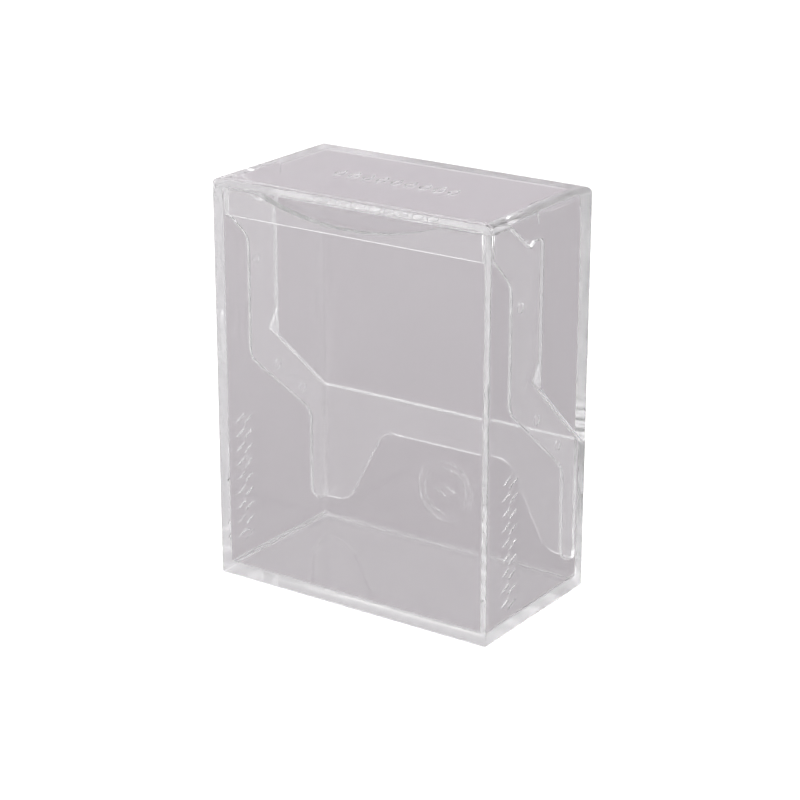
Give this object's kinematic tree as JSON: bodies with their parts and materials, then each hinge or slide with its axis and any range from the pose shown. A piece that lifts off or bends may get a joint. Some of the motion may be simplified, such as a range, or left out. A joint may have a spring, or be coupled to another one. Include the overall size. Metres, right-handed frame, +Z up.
{
  "type": "card deck box",
  "caption": "Clear rigid box for sleeved trading cards: a front tray with a thumb notch and a lift-off lid whose inner skirt and back legs slide down inside it.",
  "frame": {"origin": "centre of the rectangle that the box stands on", "axes": "+Z up and the way the lid lifts, +X to the box's right side, the thumb notch faces -Y"},
  "size_m": [0.0764, 0.0434, 0.099],
  "materials": {
    "clear_plastic": "polished clear moulded polystyrene, faintly violet grey"
  },
  "bodies": {
    "tray": {"tray": "clear_plastic"},
    "lid": {"lid": "clear_plastic"}
  },
  "joints": [
    {"name": "lid_lift", "type": "slide", "parent": "tray", "child": "lid", "axis": [0, 0, 1], "range_m": [0, 0.1]}
  ]
}
